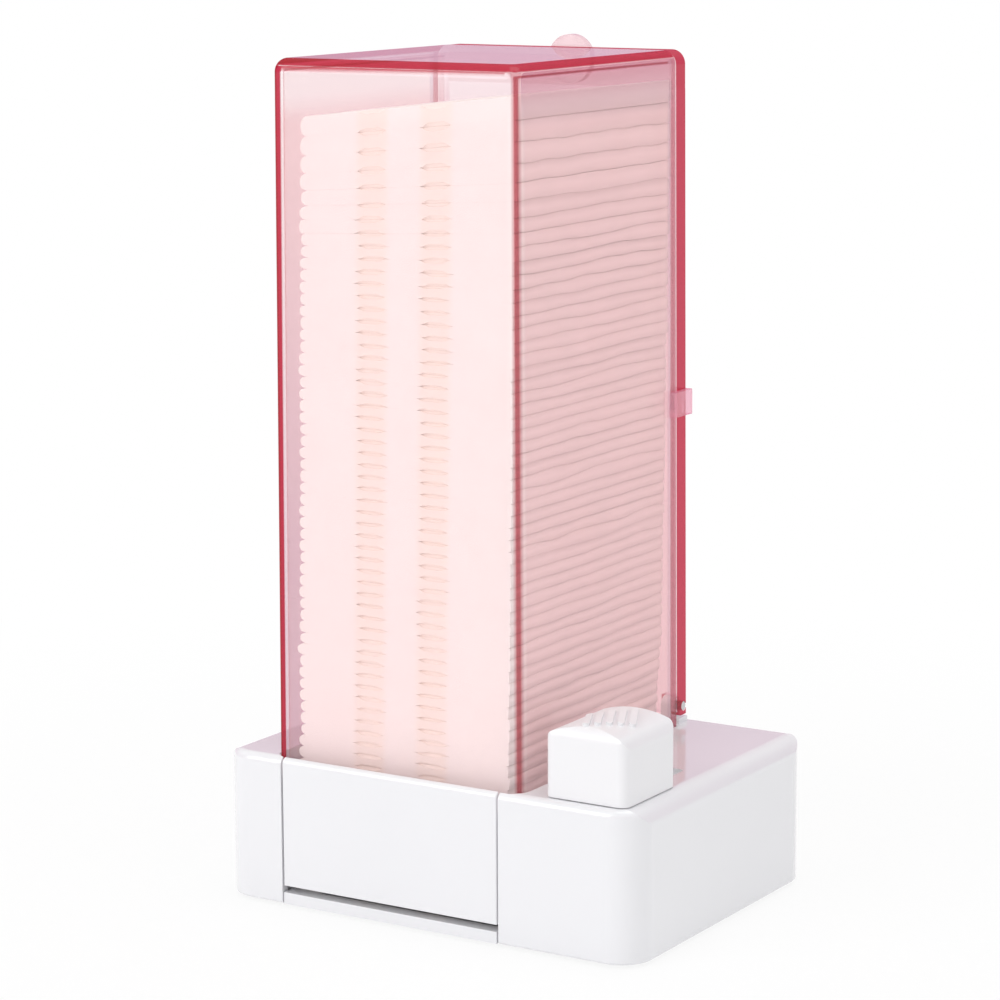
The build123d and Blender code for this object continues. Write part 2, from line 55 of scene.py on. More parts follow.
WIPE_DEPTH = wipe_high.y - wipe_low.y
STACK_LEAN = 0.019
GROOVES = (0.342, 0.638)
# Painted warm shade in the pockets between wipes, along the two grooves
POCKET_PAINTED_SHADE = (1.0, 0.94, 0.885, 1.0)
POCKET_PAINTED_SHADE_REACH = (4.6 * MM, 2.6 * MM)
POCKET_PAINTED_SHADE_LEAST = 0.4

# Camera, solved from the straight edges in the photograph
CAMERA_PLACE = (0.3582, -0.5828, 0.2112)
CAMERA_YAW = 31.855
CAMERA_PITCH = 10.541
CAMERA_ROLL = -0.255
CAMERA_LENS = 120.02
CAMERA_SENSOR = 36.0


def add_camera():
    """A level camera frame turned by yaw and pitch, then by a slight roll."""
    yaw, pitch, roll = (math.radians(a) for a in (CAMERA_YAW, CAMERA_PITCH, CAMERA_ROLL))
    level = math.cos(pitch)
    forward = Vector((-math.sin(yaw) * level, math.cos(yaw) * level, -math.sin(pitch)))
    level_right = Vector((math.cos(yaw), math.sin(yaw), 0.0))
    level_up = level_right.cross(forward)
    right = math.cos(roll) * level_right + math.sin(roll) * level_up
    up = math.cos(roll) * level_up - math.sin(roll) * level_right
    data = bpy.data.cameras.new("camera")
    data.lens = CAMERA_LENS
    data.sensor_width = CAMERA_SENSOR
    data.clip_start = 0.01
    camera = bpy.data.objects.new("camera", data)
    bpy.context.scene.collection.objects.link(camera)
    turn = Matrix((right, up, -forward)).transposed().to_4x4()
    camera.matrix_world = Matrix.Translation(CAMERA_PLACE) @ turn
    bpy.context.scene.camera = camera


add_camera()


# Small helpers for materials


def new_material(name):
    """An empty node material: its tree, its links and its output node."""
    material = bpy.data.materials.new(name)
    material.use_nodes = True
    tree = material.node_tree
    tree.nodes.clear()
    output = tree.nodes.new("ShaderNodeOutputMaterial")
    return material, tree, output


def node(tree, kind, **settings):
    """One node, with its settings and the values of its named inputs."""
    made = tree.nodes.new(kind)
    for key, value in settings.items():
        if key == "inputs":
            for socket, number in value.items():
                made.inputs[socket].default_value = number
        else:
            setattr(made, key, value)
    return made


def ramp(tree, source, low, high, low_at=0.0, high_at=1.0):
    """Maps a 0 to 1 value to a colour between two colours."""
    made = node(tree, "ShaderNodeValToRGB")
    made.color_ramp.elements[0].position = low_at
    made.color_ramp.elements[0].color = (*low, 1.0)
    made.color_ramp.elements[1].position = high_at
    made.color_ramp.elements[1].color = (*high, 1.0)
    tree.links.new(source, made.inputs["Fac"])
    return made


def noise(tree, coordinates, scale, detail=2.0, roughness=0.5):
    """Noise in object space, its scale in features per metre."""
    made = node(tree, "ShaderNodeTexNoise",
                inputs={"Scale": scale, "Detail": detail, "Roughness": roughness})
    tree.links.new(coordinates.outputs["Object"], made.inputs["Vector"])
    return made


def bump(tree, height, distance, strength):
    """A bump of a real height in metres."""
    made = node(tree, "ShaderNodeBump", inputs={"Strength": strength, "Distance": distance})
    tree.links.new(height, made.inputs["Height"])
    return made


def roughness_range(tree, source, low, high):
    """Roughness that wanders between two values."""
    made = node(tree, "ShaderNodeMapRange", inputs={"To Min": low, "To Max": high})
    tree.links.new(source, made.inputs["Value"])
    return made.outputs["Result"]


def moulded_plastic(name, pale, shade, rough_low, rough_high, coat):
    """Moulded plastic: faint flow variation in colour and gloss, a fine even orange peel."""
    material, tree, output = new_material(name)
    place = node(tree, "ShaderNodeTexCoord")
    flow = noise(tree, place, 22.0, 3.0, 0.55)
    peel = noise(tree, place, 900.0, 2.0, 0.5)
    shader = node(tree, "ShaderNodeBsdfPrincipled",
                  inputs={"IOR": 1.5, "Coat Weight": coat, "Coat Roughness": 0.08})
    tint = ramp(tree, flow.outputs["Fac"], shade, pale, 0.3, 0.7)
    tree.links.new(tint.outputs["Color"], shader.inputs["Base Color"])
    tree.links.new(roughness_range(tree, flow.outputs["Fac"], rough_low, rough_high),
                   shader.inputs["Roughness"])
    tree.links.new(bump(tree, peel.outputs["Fac"], 0.00002, 0.35).outputs["Normal"],
                   shader.inputs["Normal"])
    tree.links.new(shader.outputs["BSDF"], output.inputs["Surface"])
    return material


def mixed(tree, share, first, second):
    """A mix of two shaders by a share, which is a number or a socket."""
    made = node(tree, "ShaderNodeMixShader")
    if isinstance(share, float):
        made.inputs["Fac"].default_value = share
    else:
        tree.links.new(share, made.inputs["Fac"])
    tree.links.new(first, made.inputs[1])
    tree.links.new(second, made.inputs[2])
    return made.outputs["Shader"]


def maths(tree, operation, first, second=0.0, clamp=False):
    """One arithmetic node; each term is a number or a socket."""
    made = node(tree, "ShaderNodeMath", operation=operation, use_clamp=clamp)
    for place, term in ((0, first), (1, second)):
        if isinstance(term, float):
            made.inputs[place].default_value = term
        else:
            tree.links.new(term, made.inputs[place])
    return made.outputs["Value"]


def soft_step(tree, source, low, high):
    """0 below one value and 1 past the other, smooth between them."""
    made = node(tree, "ShaderNodeMapRange", interpolation_type="SMOOTHSTEP",
                inputs={"From Min": low, "From Max": high, "To Min": 0.0, "To Max": 1.0})
    tree.links.new(source, made.inputs["Value"])
    return made.outputs["Result"]


def parts_of(tree, vector):
    """The X, Y and Z outputs of a vector."""
    made = node(tree, "ShaderNodeSeparateXYZ")
    tree.links.new(vector, made.inputs["Vector"])
    return made.outputs


def normal_sizes(tree, place):
    """The sizes of the normal's three parts, and the largest of them, which is 1 on a flat wall."""
    parts = parts_of(tree, place.outputs["Normal"])
    sizes = [maths(tree, "ABSOLUTE", parts[axis]) for axis in "XYZ"]
    return sizes, maths(tree, "MAXIMUM", maths(tree, "MAXIMUM", sizes[0], sizes[1]), sizes[2])


def outer_side(tree, place):
    """1 on the tower's outer surfaces and 0 on its inner ones, then 1 where a surface's back is seen."""
    arm = node(tree, "ShaderNodeVectorMath", operation="SUBTRACT", inputs={1: cover_middle.to_tuple()})
    tree.links.new(place.outputs["Object"], arm.inputs[0])
    outward = node(tree, "ShaderNodeVectorMath", operation="DOT_PRODUCT")
    tree.links.new(arm.outputs["Vector"], outward.inputs[0])
    tree.links.new(place.outputs["Normal"], outward.inputs[1])
    behind = node(tree, "ShaderNodeNewGeometry").outputs["Backfacing"]
    side = maths(tree, "MULTIPLY", outward.outputs["Value"],
                 maths(tree, "SUBTRACT", 1.0, maths(tree, "MULTIPLY", behind, 2.0)))
    return maths(tree, "GREATER_THAN", side, 0.0), behind


def product(tree, *terms):
    """The product of several numbers or sockets."""
    total = terms[0]
    for term in terms[1:]:
        total = maths(tree, "MULTIPLY", total, term)
    return total


def rest_of(tree, share):
    """What a share leaves."""
    return maths(tree, "SUBTRACT", 1.0, share)


SLANT_FROM, SLANT_FULL = 0.12, 0.62
CLEAN_FROM, CLEAN_FULL = 14 * MM, 7 * MM
CLEAN_SHARE = 0.55
FILM_LEAST, FILM_PER_SLANT = 0.8, 1.4
GLOW_SHARE = 0.35
SQUARE_ON_GLOSS = 0.03
GLOSS_POWER = 5.0
EDGE_DULLNESS = 0.85
# Painted mauve reflection and shade on the tower's walls
PAINTED_MAUVE = (0.78, 0.73, 0.82)
GLOSS_ROUGHNESS = (0.02, 0.06)
SURFACE_WAVES = (0.03 * MM, 0.25)


def clear_plastic(name, facing_tint, slanting_tint, edge_tint, edge_glow, film, milkiness, lets_in,
                  edge_rule):
    """Thin clear plastic with a milky film. Its tint deepens where the sight slants and along its edges.

    film is the film's colour, and lets_in the tint of the light that falls through on things inside.
    edge_rule gives the shares of edge tint, of the painted mauve reflection and shade, and of gloss at a
    slant.
    Tint and film are weaker in the last millimetres below the cover's top.
    """
    material, tree, output = new_material(name)
    place = node(tree, "ShaderNodeTexCoord")
    waves = noise(tree, place, 35.0, 2.0, 0.5)
    haze = noise(tree, place, 60.0, 3.0, 0.6)
    at = parts_of(tree, place.outputs["Object"])
    clean = soft_step(tree, at["Z"], cover_high.z - CLEAN_FROM, cover_high.z - CLEAN_FULL)
    strength = rest_of(tree, product(tree, clean, CLEAN_SHARE))
    slant = node(tree, "ShaderNodeLayerWeight", inputs={"Blend": 0.5}).outputs["Facing"]
    walls = ramp(tree, product(tree, slant, strength), facing_tint, slanting_tint,
                 SLANT_FROM, SLANT_FULL).outputs["Color"]
    edges, far, shiny = edge_rule(tree, place, slant)
    # Painted mauve reflection and shade, multiplied into the see-through tint
    if far:
        painted_mauve_mix = node(tree, "ShaderNodeMix", data_type="RGBA", blend_type="MULTIPLY",
                        inputs={7: (*PAINTED_MAUVE, 1.0)})
        tree.links.new(far, painted_mauve_mix.inputs["Factor"])
        tree.links.new(walls, painted_mauve_mix.inputs[6])
        walls = painted_mauve_mix.outputs[2]
    tint = node(tree, "ShaderNodeMix", data_type="RGBA", inputs={7: (*edge_tint, 1.0)})
    tree.links.new(edges, tint.inputs["Factor"])
    tree.links.new(walls, tint.inputs[6])
    see_through = node(tree, "ShaderNodeBsdfTransparent")
    tree.links.new(tint.outputs[2], see_through.inputs["Color"])
    lit = node(tree, "ShaderNodeBsdfDiffuse", inputs={"Color": (*film, 1.0)})
    let_through = node(tree, "ShaderNodeBsdfTranslucent", inputs={"Color": (*film, 1.0)})
    milk = mixed(tree, 0.5, lit.outputs["BSDF"], let_through.outputs["BSDF"])
    glow = node(tree, "ShaderNodeBsdfDiffuse", inputs={"Color": (*edge_glow, 1.0)})
    slanted = maths(tree, "ADD", product(tree, slant, FILM_PER_SLANT), FILM_LEAST)
    depth = product(tree, maths(tree, "ADD", haze.outputs["Fac"], 0.5), slanted, rest_of(tree, edges),
                    strength, milkiness)
    body = mixed(tree, depth, see_through.outputs["BSDF"], milk)
    body = mixed(tree, product(tree, edges, GLOW_SHARE), body, glow.outputs["BSDF"])
    gloss = node(tree, "ShaderNodeBsdfGlossy", inputs={"Color": (1.0, 1.0, 1.0, 1.0)})
    tree.links.new(roughness_range(tree, haze.outputs["Fac"], *GLOSS_ROUGHNESS),
                   gloss.inputs["Roughness"])
    tree.links.new(bump(tree, waves.outputs["Fac"], *SURFACE_WAVES).outputs["Normal"],
                   gloss.inputs["Normal"])
    grazing = product(tree, maths(tree, "POWER", slant, GLOSS_POWER), shiny,
                      rest_of(tree, product(tree, edges, EDGE_DULLNESS)))
    mirror = maths(tree, "ADD", grazing, SQUARE_ON_GLOSS, clamp=True)
    surface = mixed(tree, mirror, body, gloss.outputs["BSDF"])
    path = node(tree, "ShaderNodeLightPath")
    falling = maths(tree, "MAXIMUM", path.outputs["Is Shadow Ray"], path.outputs["Is Diffuse Ray"])
    let_in = node(tree, "ShaderNodeBsdfTransparent", inputs={"Color": (*lets_in, 1.0)})
    tree.links.new(mixed(tree, falling, surface, let_in.outputs["BSDF"]), output.inputs["Surface"])
    return material


# Pairs are where a soft step begins and where it is full. Turns are told by the parts of the normal.
COVER_TURN = (0.9993, 0.990)
MIDDLE_TURN, MIDDLE_TURN_SHARE = (0.93, 0.85), 0.38
UPRIGHT_BELOW = 0.45
STEEP_RATIO = 1.75
STEEP_SLANT = (0.15, 0.23)
ANY_SLANT = (0.5, 0.6)
PAST_SQUARE_ON = (0.50, 0.62)
SIDE_TURN = (-0.25, 0.0)
INNER_SHARE = 0.8
TOP_TURN = (0.42, 0.55)
FLAT_SIDE = 0.9
REAR_EDGE, REAR_SHARE = (3.1 * MM, 2.2 * MM), 0.5
REAR_MAUVE, REAR_MAUVE_SHARE = (4.6 * MM, 3.4 * MM), 0.75
# Painted shade on the side walls below the cover's top: its depth and its share of deep red
TOP_SHADE_DEPTH, TOP_SHADE_SHARE = 16 * MM, 0.36
FAR_GAIN = 1.1
OUTER_GLOSS, LEAST_GLOSS = 0.8, 0.1


def outer_gloss(tree, outer):
    """Gloss at a slant: strong on outer surfaces, faint on inner ones."""
    return maths(tree, "ADD", product(tree, outer, OUTER_GLOSS), LEAST_GLOSS)


def before_back(tree, at, reach):
    """A soft step over a stretch before the cover's open back."""
    return soft_step(tree, at["Y"], cover_high.y - reach[0], cover_high.y - reach[1])


def cover_edges(tree, place, slant):
    """Deep red where the sight runs along inside a corner, then the painted mauve share and the gloss.

    The red lies on the upper part of the top edges, on the outer side of an upright corner seen
    slanting, on the inner side of one seen square on, faintly along the open back, and as painted
    shade below the top of the side walls. Painted mauve reflection lies on the walls seen from inside,
    deeper toward the foot; painted mauve shade lies below the top of the side walls, and mauve lies
    along the open back.
    """
    sizes, largest = normal_sizes(tree, place)
    outer, behind = outer_side(tree, place)
    inner = rest_of(tree, outer)
    just_turned = soft_step(tree, largest, *COVER_TURN)
    upright = maths(tree, "LESS_THAN", sizes[2], UPRIGHT_BELOW)
    steep = maths(tree, "LESS_THAN", sizes[0], product(tree, sizes[1], STEEP_RATIO))
    slanting = maths(tree, "MAXIMUM", product(tree, soft_step(tree, slant, *STEEP_SLANT), steep),
                     soft_step(tree, slant, *ANY_SLANT))
    middle_turn = product(tree, soft_step(tree, largest, *MIDDLE_TURN), MIDDLE_TURN_SHARE)
    outer_share = product(tree, outer, just_turned, maths(tree, "MAXIMUM", slanting, middle_turn),
                          upright)
    square_on = rest_of(tree, soft_step(tree, slant, *PAST_SQUARE_ON))
    side_turned = soft_step(tree, maths(tree, "SUBTRACT", sizes[0], sizes[1]), *SIDE_TURN)
    inner_share = product(tree, inner, just_turned, side_turned, square_on, upright, INNER_SHARE)
    top_share = product(tree, just_turned, soft_step(tree, sizes[2], *TOP_TURN), outer)
    at = parts_of(tree, place.outputs["Object"])
    side_wall = maths(tree, "GREATER_THAN", sizes[0], FLAT_SIDE)
    rear_share = product(tree, before_back(tree, at, REAR_EDGE), side_wall, outer, REAR_SHARE)
    # Painted shade on the side walls below the top, in deep red and mauve
    near_top = soft_step(tree, at["Z"], cover_high.z - TOP_SHADE_DEPTH, cover_high.z)
    painted_shade_below_top = product(tree, near_top, side_wall, outer, rest_of(tree, behind))
    top_shade = product(tree, painted_shade_below_top, TOP_SHADE_SHARE)
    share = outer_share
    for other in (inner_share, top_share, rear_share, top_shade):
        share = maths(tree, "MAXIMUM", share, other)
    # Painted mauve reflection on the walls seen from inside, deeper toward the foot, and painted shade
    # below the top
    differs = maths(tree, "ABSOLUTE", maths(tree, "SUBTRACT", outer, rest_of(tree, behind)))
    below_top = soft_step(tree, at["Z"], cover_high.z, cover_low.z)
    mauve = product(tree, before_back(tree, at, REAR_MAUVE), REAR_MAUVE_SHARE)
    far = maths(tree, "MAXIMUM", product(tree, differs, side_wall, below_top, FAR_GAIN),
                product(tree, maths(tree, "MAXIMUM", mauve, painted_shade_below_top), side_wall, outer))
    return share, maths(tree, "MINIMUM", far, 1.0), outer_gloss(tree, outer)


NARROW_FACE = 0.7
DOOR_TURN = (0.985, 0.88)
DOOR_SLANT = (0.1, 0.3)
TAB_SHARE = 0.12


def door_edges(tree, place, slant):
    """The door's narrow outer faces are deep red all over, and its finger tab is pale."""
    sizes, largest = normal_sizes(tree, place)
    narrow = maths(tree, "GREATER_THAN", maths(tree, "MAXIMUM", sizes[0], sizes[2]), NARROW_FACE)
    turned = product(tree, soft_step(tree, largest, *DOOR_TURN), soft_step(tree, slant, *DOOR_SLANT))
    outer, behind = outer_side(tree, place)
    at = parts_of(tree, place.outputs["Object"])
    before = maths(tree, "LESS_THAN", at["Y"], door_high.y - TAB_THICKNESS - TAB_MARGIN)
    below = maths(tree, "LESS_THAN", at["Z"], door_high.z - TAB_HEIGHT)
    off_tab = maths(tree, "MAXIMUM", before, below)
    share = product(tree, maths(tree, "MAXIMUM", turned, narrow), outer, rest_of(tree, behind),
                    off_tab)
    share = maths(tree, "MAXIMUM", share, product(tree, rest_of(tree, off_tab), TAB_SHARE))
    return share, None, outer_gloss(tree, outer)


GRAZING_SLANT = (0.6, 0.95)
PLAIN_GLOSS = 0.9


def plain_edges(tree, place, slant):
    """Edge tint only where the sight grazes the surface."""
    return soft_step(tree, slant, *GRAZING_SLANT), None, PLAIN_GLOSS


def cotton(name):
    """Pressed cotton: soft fibre bump, faint warm mottling, and painted warm shade along the two
    grooves.
    """
    material, tree, output = new_material(name)
    place = node(tree, "ShaderNodeTexCoord")
    mottle = noise(tree, place, 90.0, 4.0, 0.6)
    fibre = noise(tree, place, 2600.0, 4.0, 0.7)
    shader = node(tree, "ShaderNodeBsdfPrincipled",
                  inputs={"Roughness": 0.9, "Sheen Weight": 0.25, "Sheen Roughness": 0.5,
                          "Specular IOR Level": 0.2})
    tint = ramp(tree, mottle.outputs["Fac"], (0.985, 0.94, 0.92), (0.995, 0.965, 0.95), 0.25, 0.75)
    # Painted warm shade along the grooves, where their pockets open between the wipes; the mottle varies
    # it
    at = parts_of(tree, place.outputs["Object"])
    leaned = maths(tree, "MULTIPLY", maths(tree, "SUBTRACT", at["Z"], stack_low.z), STACK_LEAN)
    across = maths(tree, "SUBTRACT", maths(tree, "SUBTRACT", at["X"], leaned), wipe_low.x)
    near = 0.0
    for centre in GROOVES:
        away = maths(tree, "ABSOLUTE", maths(tree, "SUBTRACT", across, centre * WIPE_WIDTH))
        near = maths(tree, "MAXIMUM", near, soft_step(tree, away, *POCKET_PAINTED_SHADE_REACH))
    warm = node(tree, "ShaderNodeMix", data_type="RGBA", blend_type="MULTIPLY", inputs={7: POCKET_PAINTED_SHADE})
    mottled = maths(tree, "ADD", mottle.outputs["Fac"], POCKET_PAINTED_SHADE_LEAST)
    tree.links.new(product(tree, near, mottled), warm.inputs["Factor"])
    tree.links.new(tint.outputs["Color"], warm.inputs[6])
    tree.links.new(warm.outputs[2], shader.inputs["Base Color"])
    tree.links.new(bump(tree, fibre.outputs["Fac"], 0.00012, 0.6).outputs["Normal"],
                   shader.inputs["Normal"])
    tree.links.new(shader.outputs["BSDF"], output.inputs["Surface"])
    return material


def soft_rubber(name):
    """Grey rubber with a fine matt grain."""
    material, tree, output = new_material(name)
    place = node(tree, "ShaderNodeTexCoord")
    grain = noise(tree, place, 1500.0, 3.0, 0.6)
    shader = node(tree, "ShaderNodeBsdfPrincipled", inputs={"Specular IOR Level": 0.3})
    tint = ramp(tree, grain.outputs["Fac"], (0.45, 0.45, 0.46), (0.58, 0.58, 0.59))
    tree.links.new(tint.outputs["Color"], shader.inputs["Base Color"])
    tree.links.new(roughness_range(tree, grain.outputs["Fac"], 0.6, 0.8), shader.inputs["Roughness"])
    tree.links.new(bump(tree, grain.outputs["Fac"], 0.00003, 0.5).outputs["Normal"],
                   shader.inputs["Normal"])
    tree.links.new(shader.outputs["BSDF"], output.inputs["Surface"])
    return material


def steel(name):
    """Plain turned steel with fine tool marks."""
    material, tree, output = new_material(name)
    place = node(tree, "ShaderNodeTexCoord")
    marks = noise(tree, place, 1800.0, 2.0, 0.5)
    shader = node(tree, "ShaderNodeBsdfPrincipled", inputs={"Metallic": 1.0})
    tint = ramp(tree, marks.outputs["Fac"], (0.50, 0.50, 0.51), (0.66, 0.66, 0.67))
    tree.links.new(tint.outputs["Color"], shader.inputs["Base Color"])
    tree.links.new(roughness_range(tree, marks.outputs["Fac"], 0.25, 0.4), shader.inputs["Roughness"])
    tree.links.new(bump(tree, marks.outputs["Fac"], 0.00001, 0.4).outputs["Normal"],
                   shader.inputs["Normal"])
    tree.links.new(shader.outputs["BSDF"], output.inputs["Surface"])
    return material


WHITE = moulded_plastic("white_moulded", (0.875, 0.875, 0.90), (0.86, 0.86, 0.885), 0.10, 0.16, 0.7)
WHITE_KNOB = moulded_plastic("white_knob_moulded", (0.905, 0.90, 0.92), (0.89, 0.885, 0.905),
                             0.24, 0.34, 0.1)
WHITE_INNER = moulded_plastic("white_inner_moulded", (0.88, 0.88, 0.88), (0.85, 0.85, 0.86),
                              0.35, 0.5, 0.0)
PINK_FILM = (1.0, 0.79, 0.80)
PINK_LETS_IN = (1.0, 0.975, 0.972)
PINK_MILKINESS = 0.11
PINK = clear_plastic("rose_clear", (1.0, 0.97, 0.975), (1.0, 0.80, 0.815), (0.57, 0.04, 0.09),
                     (0.57, 0.02, 0.045), PINK_FILM, PINK_MILKINESS, PINK_LETS_IN, cover_edges)
PINK_DOOR = clear_plastic("rose_clear_door", (1.0, 0.95, 0.965), (0.97, 0.80, 0.85), (0.61, 0.075, 0.13),
                          (0.60, 0.035, 0.065), PINK_FILM, PINK_MILKINESS, PINK_LETS_IN, door_edges)
PALE = clear_plastic("pale_rose_clear", (1.0, 0.84, 0.89), (1.0, 0.66, 0.76), (0.90, 0.50, 0.62),
                     (0.84, 0.36, 0.46), (1.0, 0.66, 0.76), 0.16, (0.98, 0.93, 0.95), plain_edges)
COTTON = cotton("pressed_cotton")
RUBBER = soft_rubber("soft_rubber_grey")
STEEL = steel("plain_steel")

NODE_MATERIALS = {
    "base_housing": WHITE, "front_panel": WHITE, "bottom_plate": WHITE, "slider_knob": WHITE_KNOB,
    "slider_arm": WHITE_INNER, "carriage_plate": WHITE_INNER,
    "tower_cover": PINK, "rear_door": PINK_DOOR, "door_clip_left": PALE, "door_clip_right": PALE,
    "foot_front_left": RUBBER, "foot_front_right": RUBBER, "foot_back_left": RUBBER,
    "foot_back_right": RUBBER, "retard_strip": RUBBER, "grip_strip": RUBBER,
    "bottom_screws": STEEL, "knob_screw": STEEL, "hinge_pin_left": STEEL, "hinge_pin_right": STEEL,
    "wipe_stack": COTTON, "next_wipe": COTTON,
}
for name, material in NODE_MATERIALS.items():
    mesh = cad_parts[name].data
    mesh.materials.clear()
    mesh.materials.append(material)


# Wipes: each is a thin pillow with pressed side edges and two pressed grooves

SEED = 7
# The stack: wipes at an even pitch, looser and fanned out to the right at the top
PITCH = 2.42 * MM
LOOSE_WIPES = 7
LOOSE_GROWTH = 0.235 * MM
STACK_FAN = 5.6 * MM
FANNED_SHARE = 0.33
# Waves of the surfaces between wipes, near both sides and off the front, and of the side edges
WAVE = 0.28 * MM
LEVEL_WAVE_LENGTH = 0.8
SIDE_ZONE = 0.2
FRONT_ZONE = 0.1
WAVE_SCALE = 0.625
EDGE_WAVE_LENGTH = 1.1
LEFT_WAVE = 0.25 * MM
RIGHT_WAVE = 0.10 * MM
SHIFT = 0.12 * MM
# Above the well each wipe reaches further back, and less so higher up, where the door leans in
WELL_TOP = 0.040
BACK_GROWTH = 1.3 * MM
GROWTH_REACH = 10 * MM
BACK_LEAN = 0.005
# Rounding of the edges, with the share of thickness that is left at the very edge
LEFT_ROUND = 1.9 * MM
LEFT_LEAST = 0.25
LEFT_VARIES = 0.2
RIGHT_ROUND = 0.4 * MM
RIGHT_DIP = 0.09
RIGHT_VARIES = 0.25
BACK_ROUND = 1.2 * MM
BACK_LEAST = 0.6
# Grooves: their half width and shift as shares of the wipe's width, and the pockets at the front
GROOVE_HALF = 0.070
GROOVE_SHIFT = 0.006
GROOVE_DIP = 0.42
DIP_VARIES = 0.12
POCKET_DEPTH = 0.5 * MM


def smooth_step(value):
    """0 to 1 with level ends."""
    value = np.clip(value, 0.0, 1.0)
    return value * value * (3.0 - 2.0 * value)


def slow_wave(rng, places, longest, count=4):
    """A smooth random curve along one direction, between about -1 and 1."""
    total = np.zeros_like(places)
    for order in range(1, count + 1):
        total += rng.normal() / order * np.sin(2 * math.pi * (order * places / longest + rng.random()))
    return total * WAVE_SCALE


def grid_lines(*stretches):
    """Places of grid lines from 0 to 1. Each stretch is its start, its end and its count."""
    return np.unique(np.concatenate([np.linspace(*stretch) for stretch in stretches]))


# Closer together where an edge turns
ACROSS = grid_lines((0.0, 0.04, 8), (0.04, 0.96, 56), (0.96, 0.985, 4), (0.985, 1.0, 9))
ALONG = grid_lines((0.0, 0.009, 8), (0.009, 0.1, 5), (0.1, 0.97, 24), (0.97, 1.0, 7))


def wipe_mesh(name, wipes, material):
    """One mesh of several wipes. Each is a closed skin, given as its lower z, upper z, x and y grids."""
    points = []
    faces = []
    smooth = []
    rows = len(ALONG)
    columns = len(ACROSS)
    index = np.arange(rows * columns).reshape(rows, columns)
    for lower, upper, x, y in wipes:
        start = sum(len(group) for group in points)
        points.append(np.stack([x.ravel(), y.ravel(), lower.ravel()], 1))
        points.append(np.stack([x.ravel(), y.ravel(), upper.ravel()], 1))
        low = index + start
        high = low + rows * columns
        quad = np.stack([high[:-1, :-1], high[:-1, 1:], high[1:, 1:], high[1:, :-1]], -1).reshape(-1, 4)
        faces.append(quad)
        quad = np.stack([low[:-1, :-1], low[1:, :-1], low[1:, 1:], low[:-1, 1:]], -1).reshape(-1, 4)
        faces.append(quad)
        for a, b, c, d in (
            (low[1:, 0], low[:-1, 0], high[:-1, 0], high[1:, 0]),
            (low[:-1, -1], low[1:, -1], high[1:, -1], high[:-1, -1]),
            (low[0, :-1], low[0, 1:], high[0, 1:], high[0, :-1]),
            (low[-1, 1:], low[-1, :-1], high[-1, :-1], high[-1, 1:]),
        ):
            faces.append(np.stack([a, b, c, d], -1))
        ends = 2 * (columns - 1)
        smooth.append(np.ones(2 * len(quad) + 2 * (rows - 1), bool))
        smooth.append(np.zeros(ends, bool))
    mesh = bpy.data.meshes.new(name)
    mesh.from_pydata(np.concatenate(points).tolist(), [], np.concatenate(faces).tolist())
    mesh.polygons.foreach_set("use_smooth", np.concatenate(smooth))
    mesh.materials.append(material)
    mesh.update()
    piece = bpy.data.objects.new(name, mesh)
    bpy.context.scene.collection.objects.link(piece)
    return piece


def rounded_share(distance, reach, least):
    """Share of full thickness near an edge: it rises from the least along a quarter circle."""
    inside = np.clip(distance / reach, 0.0, 1.0)
    return least + (1.0 - least) * np.sqrt(1.0 - (1.0 - inside) ** 2)


def hollow_share(distance, reach):
    """1 at an edge and 0 past the reach, along a quarter circle that ends facing the edge."""
    return np.sqrt(1.0 - np.clip(distance / reach, 0.0, 1.0) ** 2)


def wavy_level(rng, height, fan, wave):
    """The surface where two wipes meet. Fan lifts its right side, wave moves its sides up and down."""
    u, v = np.meshgrid(ACROSS, ALONG)
    sides = smooth_step((u - (1.0 - SIDE_ZONE)) / SIDE_ZONE), smooth_step((SIDE_ZONE - u) / SIDE_ZONE)
    level = height + fan * u
    for side in sides:
        curve = slow_wave(rng, ALONG, LEVEL_WAVE_LENGTH)[:, None]
        level = level + side * curve * wave * np.minimum(1.0, v / FRONT_ZONE)
    return level


def wipe_grids(rng, left, front, below, above):
    """One wipe's grids between two levels, thinner at its edges and in the pockets of its grooves."""
    u, v = np.meshgrid(ACROSS, ALONG)
    left_wave = slow_wave(rng, ALONG, EDGE_WAVE_LENGTH)[:, None] * LEFT_WAVE
    right_wave = slow_wave(rng, ALONG, EDGE_WAVE_LENGTH)[:, None] * RIGHT_WAVE
    x = left + rng.normal() * SHIFT + u * WIPE_WIDTH + left_wave * (1 - u) + right_wave * u
    above_well = np.maximum(below - WELL_TOP, 0.0)
    depth = WIPE_DEPTH + BACK_GROWTH * smooth_step(above_well / GROWTH_REACH) - BACK_LEAN * above_well
    y = front + v * depth
    left_round = LEFT_ROUND * (1 + LEFT_VARIES * rng.normal())
    right_round = RIGHT_ROUND * (1 + RIGHT_VARIES * rng.normal())
    full = np.minimum(rounded_share(u * WIPE_WIDTH, left_round, LEFT_LEAST),
                      1.0 - RIGHT_DIP * hollow_share((1 - u) * WIPE_WIDTH, right_round))
    full = np.minimum(full, rounded_share((1 - v) * WIPE_DEPTH, BACK_ROUND, BACK_LEAST))
    pocket = hollow_share(v * WIPE_DEPTH, POCKET_DEPTH)
    for centre in GROOVES:
        offset = rng.normal() * GROOVE_SHIFT
        dip = 1.0 - smooth_step(2.0 * np.abs(u - centre - offset) / GROOVE_HALF - 1.0)
        full = full - dip * pocket * GROOVE_DIP * (1.0 + DIP_VARIES * rng.normal())
    half = (above - below) / 2 * full
    middle = (above + below) / 2
    return middle - half, middle + half, x, y


def stack_heights():
    """Heights at which the wipes meet: even below, looser for the last ones."""
    room = stack_high.z - stack_low.z - STACK_FAN
    loose = [PITCH + LOOSE_GROWTH * (step + 1) for step in range(LOOSE_WIPES)]
    even_count = int((room - sum(loose)) / PITCH + 0.5)
    even = (room - sum(loose)) / even_count
    return stack_low.z + np.concatenate([[0.0], np.cumsum([even] * even_count + loose)])


